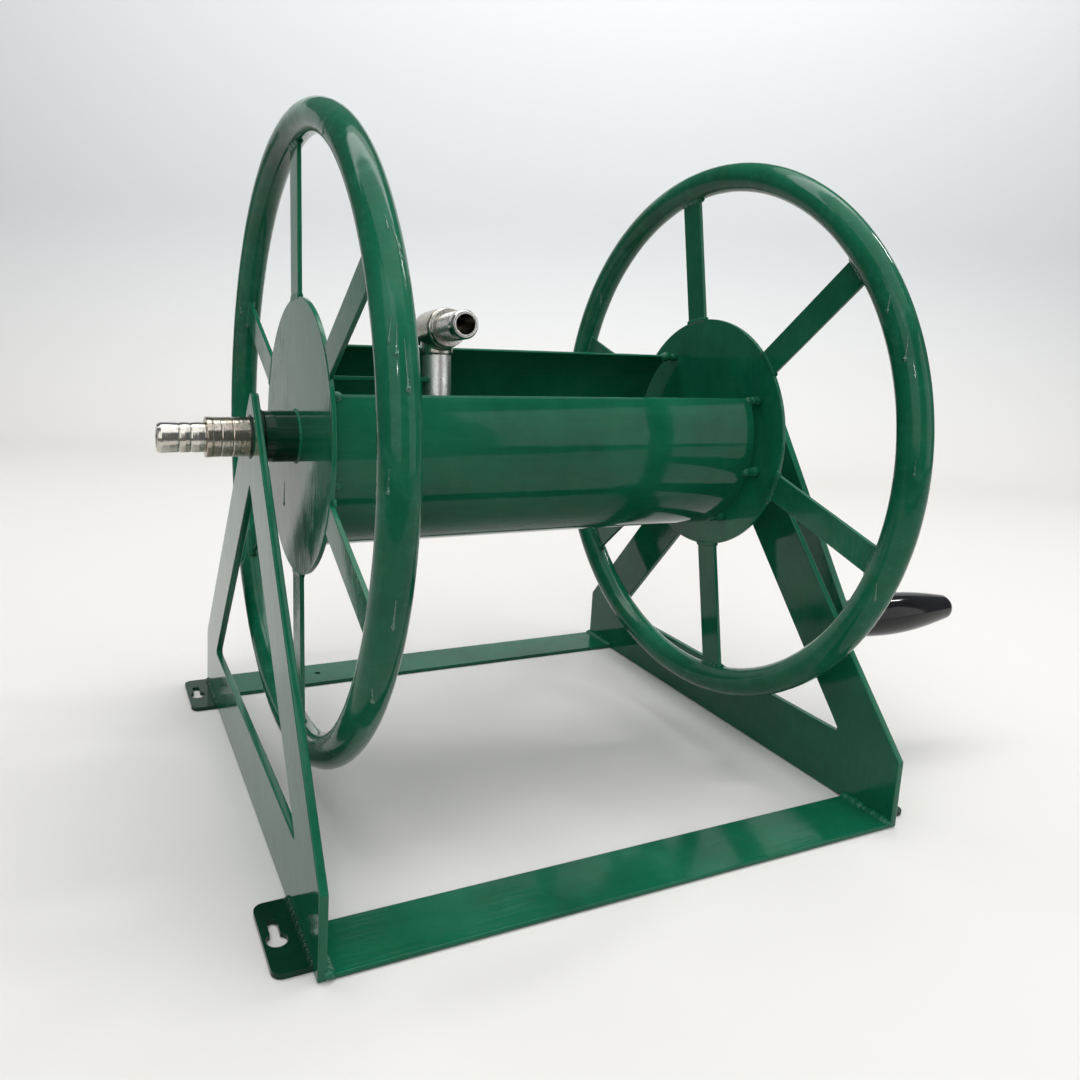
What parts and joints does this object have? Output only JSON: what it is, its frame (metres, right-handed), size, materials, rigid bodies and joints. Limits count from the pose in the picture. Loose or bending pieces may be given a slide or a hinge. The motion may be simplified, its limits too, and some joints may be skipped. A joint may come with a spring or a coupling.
{
  "type": "wall mounted hose reel",
  "caption": "Wall mounted hose reel with a triangular plate frame, spoked tube wheels, open sheet drum, swivel water inlet, outlet elbow inside the drum, and a side crank with a turning grip.",
  "frame": {"origin": "middle of the four keyholes' round ends, on the wall face of the rails and ears", "axes": "+X along the axle from the water inlet to the crank, +Y up the wall, +Z away from the wall"},
  "size_m": [0.617, 0.4199, 0.455],
  "materials": {
    "enamel": "high gloss dark green enamel, brushed on",
    "bush": "dark moulded plastic",
    "nickel": "bright nickel plate",
    "steel": "turned, zinc plated",
    "seal": "matt",
    "grip": "glossy black"
  },
  "bodies": {
    "frame": {"left_side_plate": "enamel", "right_side_plate": "enamel", "front_rail": "enamel", "rear_rail": "enamel", "front_left_ear": "enamel", "rear_left_ear": "enamel", "front_right_ear": "enamel", "rear_right_ear": "enamel", "left_bush": "bush", "right_bush": "bush"},
    "reel": {"left_rim": "enamel", "right_rim": "enamel", "left_disc": "enamel", "right_disc": "enamel", "left_spoke_1": "enamel", "left_spoke_2": "enamel", "left_spoke_3": "enamel", "left_spoke_4": "enamel", "left_spoke_5": "enamel", "left_spoke_6": "enamel", "right_spoke_1": "enamel", "right_spoke_2": "enamel", "right_spoke_3": "enamel", "right_spoke_4": "enamel", "right_spoke_5": "enamel", "right_spoke_6": "enamel", "drum_shell": "enamel", "left_tacks": "enamel", "right_tacks": "enamel", "left_sleeve": "enamel", "right_sleeve": "enamel", "riser_stay": "enamel", "crank_arm": "enamel", "riser_pipe": "nickel", "outlet_elbow": "nickel", "outlet_nipple": "nickel", "axle_pipe": "steel", "axle_elbow": "steel", "spindle": "steel", "grip_pin": "steel", "grip_washer": "steel", "grip_nut": "steel", "swivel_clip": "steel", "swivel_seals": "seal"},
    "grip": {"crank_grip": "grip"},
    "inlet": {"swivel_collar": "nickel", "hose_barb": "nickel"}
  },
  "joints": [
    {"name": "reel_spin", "type": "hinge", "parent": "frame", "child": "reel", "pos_m": [0, 0, 0.245], "axis": [1, 0, 0], "continuous": true},
    {"name": "grip_spin", "type": "hinge", "parent": "reel", "child": "grip", "pos_m": [0.3, -0.08932, 0.10746], "axis": [1, 0, 0], "continuous": true},
    {"name": "inlet_spin", "type": "hinge", "parent": "reel", "child": "inlet", "pos_m": [-0.2145, 0, 0.245], "axis": [1, 0, 0], "continuous": true}
  ]
}
